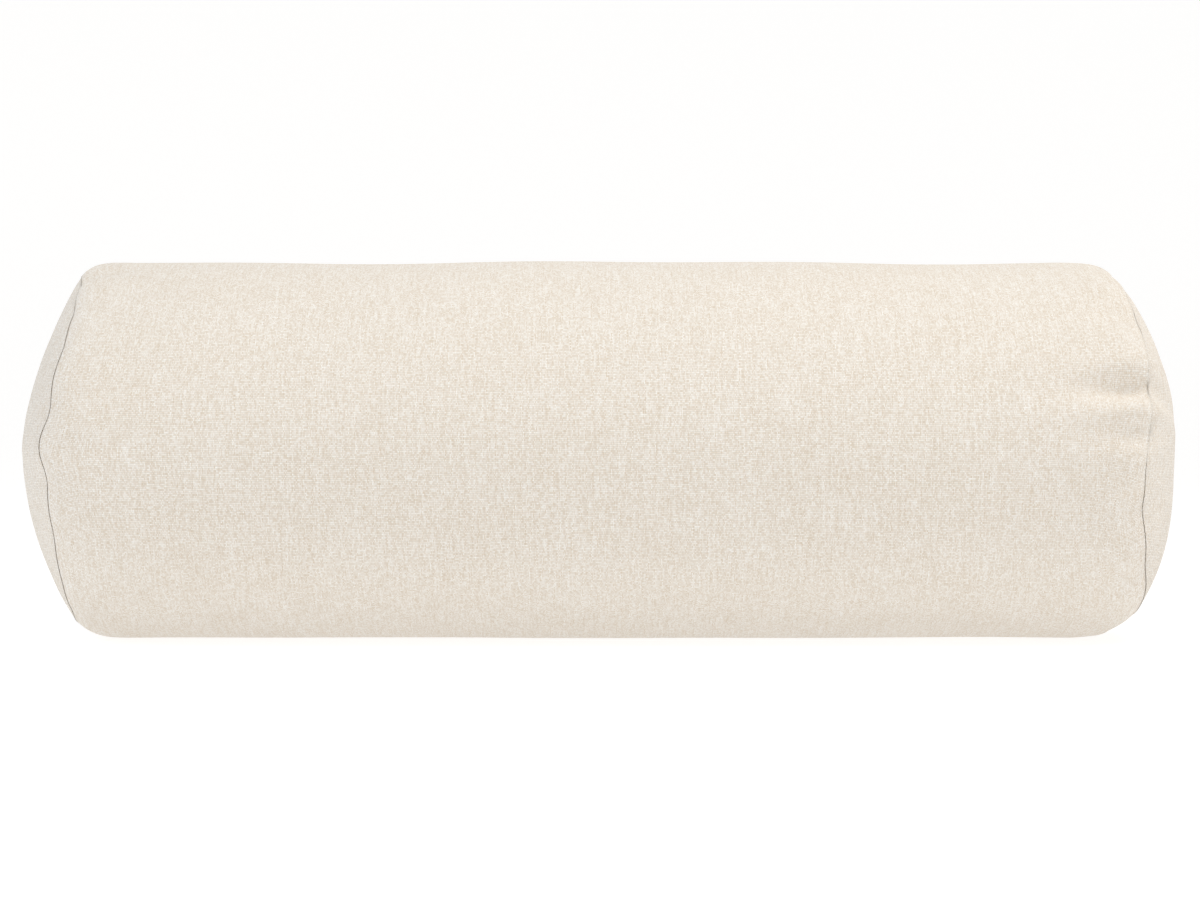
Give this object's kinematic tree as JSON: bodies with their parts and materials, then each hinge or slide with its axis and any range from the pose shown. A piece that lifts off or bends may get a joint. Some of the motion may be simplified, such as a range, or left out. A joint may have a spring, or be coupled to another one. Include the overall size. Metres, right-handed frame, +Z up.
{
  "type": "bolster pillow",
  "caption": "Cylindrical bolster pillow: a plain fabric tube with domed round end panels, a zip along its back with slider and pull, and a fibre-filled inner pillow.",
  "frame": {"origin": "on the floor under the middle of the pillow, in the flat that its weight presses into its underside", "axes": "+X along the pillow, towards the end where the closed zip's slider is; +Y to the back, where the zip is; +Z up"},
  "size_m": [0.6096, 0.208, 0.1984],
  "materials": {
    "cover_fabric": "matte",
    "liner_fabric": "matte",
    "fibre_fill": "matte",
    "sewing_thread": "matte",
    "zip_tape": "matte",
    "zip_nylon": "satin",
    "zip_metal": "satin"
  },
  "bodies": {
    "bolster": {"cover_body": "cover_fabric", "cover_end_left": "cover_fabric", "cover_end_right": "cover_fabric", "end_seam_thread_left": "sewing_thread", "end_seam_thread_right": "sewing_thread", "back_seam_thread_left": "sewing_thread", "back_seam_thread_right": "sewing_thread", "liner_body": "liner_fabric", "liner_end_left": "liner_fabric", "liner_end_right": "liner_fabric", "liner_seam_thread_left": "sewing_thread", "liner_seam_thread_right": "sewing_thread", "liner_closing_thread": "sewing_thread", "fibre_fill": "fibre_fill", "zip_tape_upper": "zip_tape", "zip_tape_lower": "zip_tape", "zip_coil_upper": "zip_nylon", "zip_coil_lower": "zip_nylon", "zip_top_stop_upper": "zip_metal", "zip_top_stop_lower": "zip_metal", "zip_bottom_stop": "zip_metal", "zip_topstitch": "sewing_thread"},
    "slider": {"zip_slider": "zip_metal"},
    "pull": {"zip_pull": "zip_metal"}
  },
  "joints": [
    {"name": "zip_slide", "type": "slide", "parent": "bolster", "child": "slider", "axis": [-1, 0, 0], "range_m": [0, 0.4394], "deforming": ["zip_coil_upper", "zip_coil_lower"]},
    {"name": "pull_flip", "type": "hinge", "parent": "slider", "child": "pull", "pos_m": [0.2197, 0.10492, 0.09721], "axis": [0, 0, -1], "range_deg": [0, 183]}
  ]
}
